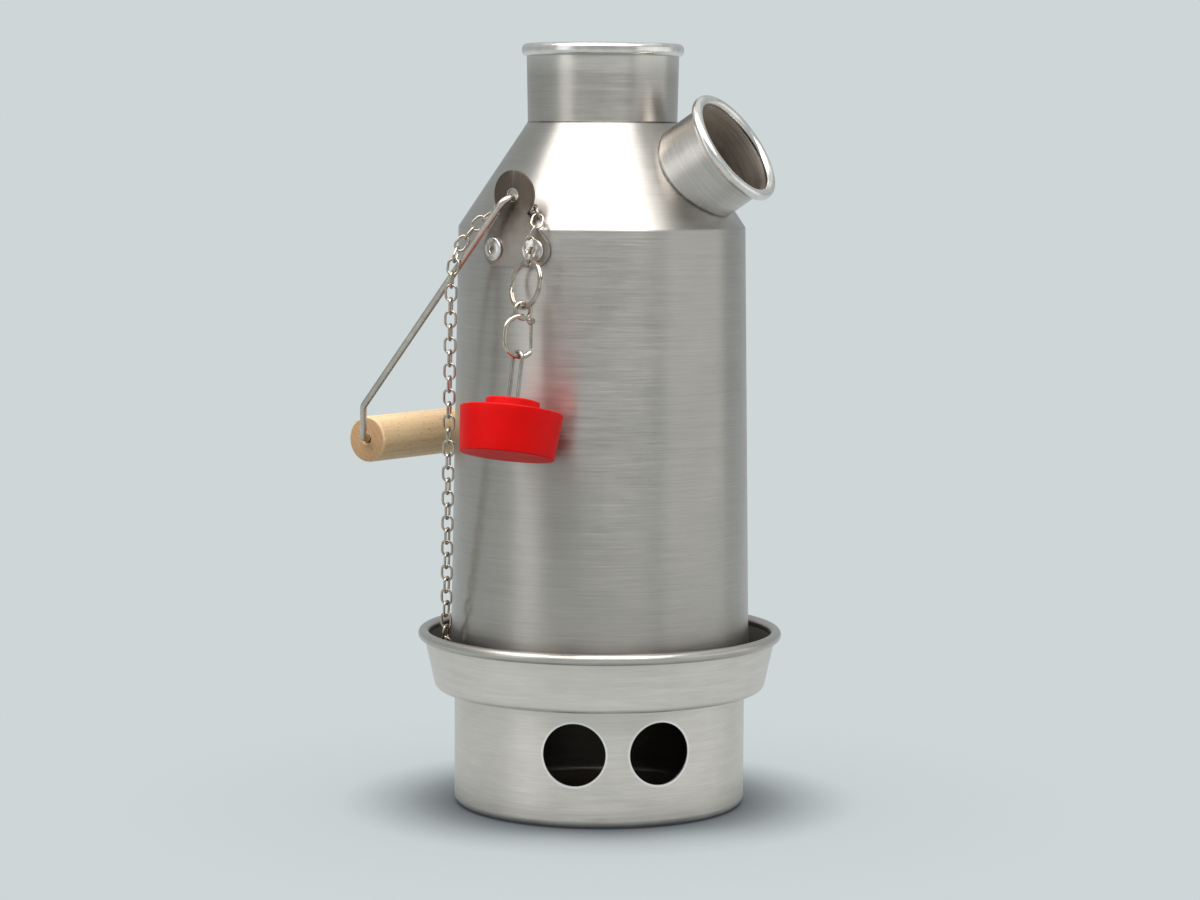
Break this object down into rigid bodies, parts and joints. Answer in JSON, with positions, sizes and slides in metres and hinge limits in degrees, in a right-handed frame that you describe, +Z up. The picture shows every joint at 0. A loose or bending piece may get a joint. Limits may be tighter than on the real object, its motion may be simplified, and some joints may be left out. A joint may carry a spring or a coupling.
{
  "type": "storm kettle",
  "caption": "Double-walled chimney kettle with a tilted spout, folding wire bail with wooden grip and chained stopper, standing on a vented fire base.",
  "frame": {"origin": "centre of the fire base's flat underside", "axes": "+Z up along the chimney, Y along the bail's pivot axis with the chained bracket on the -Y side, +X square to both on the spout's side"},
  "size_m": [0.1695, 0.1749, 0.31],
  "materials": {
    "base_steel": "pressed sheet, satin",
    "body_steel": "horizontally brushed sheet",
    "flue_steel": "dull inner sheet with a polished rolled lip",
    "spout_steel": "satin tube with a polished rolled rim",
    "bracket_steel": "satin plate",
    "rivet_steel": "bright blind rivets",
    "bail_steel": "bright drawn wire",
    "beech": "sanded, oiled beech",
    "chain_nickel": "nickel-plated wire",
    "ring_nickel": "nickel-plated flat wire",
    "clasp_nickel": "nickel-plated die-casting",
    "eye_steel": "bent round wire",
    "red_silicone": "smooth, slightly glossy silicone"
  },
  "bodies": {
    "base": {"fire_base": "base_steel"},
    "kettle": {"kettle_shell": "body_steel", "flue": "flue_steel", "spout": "spout_steel", "bracket_front": "bracket_steel", "bracket_rear": "bracket_steel", "rivets_front": "rivet_steel", "rivets_rear": "rivet_steel", "chain_behind_bracket": "chain_nickel", "chain_over_bail": "chain_nickel", "chain_hanging": "chain_nickel", "chain_in_tray": "chain_nickel", "chain_lug": "bracket_steel", "lug_rivet": "rivet_steel"},
    "bail": {"bail_wire": "bail_steel"},
    "grip": {"wooden_grip": "beech"},
    "link": {"stopper_link": "chain_nickel"},
    "clasp": {"split_ring": "ring_nickel", "clasp_body": "clasp_nickel", "gate_pin": "clasp_nickel"},
    "gate": {"clasp_gate": "clasp_nickel"},
    "stopper": {"stopper_eye": "eye_steel", "stopper": "red_silicone"}
  },
  "joints": [
    {"name": "kettle_lift", "type": "slide", "parent": "base", "child": "kettle", "axis": [0, 0, 1], "range_m": [0, 0.12]},
    {"name": "bail_swing", "type": "hinge", "parent": "kettle", "child": "bail", "pos_m": [0, 0, 0.24875], "axis": [0, 1, 0], "range_deg": [-7.5, 240], "deforming": ["chain_over_bail"]},
    {"name": "grip_spin", "type": "hinge", "parent": "bail", "child": "grip", "pos_m": [-0.08543, 0, 0.14766], "axis": [0, 1, 0], "continuous": true},
    {"name": "stopper_swing", "type": "hinge", "parent": "kettle", "child": "link", "pos_m": [0.0116, -0.064, 0.2275], "axis": [-0.984, -0.1783, 0], "range_deg": [0, 40]},
    {"name": "stopper_sway", "type": "hinge", "parent": "link", "child": "clasp", "pos_m": [0.01182, -0.06519, 0.22244], "axis": [-0.1735, 0.9571, -0.2322], "range_deg": [-12, 12]},
    {"name": "clasp_gate_open", "type": "hinge", "parent": "clasp", "child": "gate", "pos_m": [0.01473, -0.06684, 0.20118], "axis": [-0.8473, 0.5079, -0.1554], "range_deg": [0, 25], "stiffness_Nm_per_rad": 0.002, "springref_deg": -11.46},
    {"name": "stopper_tilt", "type": "hinge", "parent": "clasp", "child": "stopper", "pos_m": [0.01329, -0.07335, 0.18772], "axis": [-0.5295, -0.8306, 0.1726], "range_deg": [0, 30]}
  ]
}
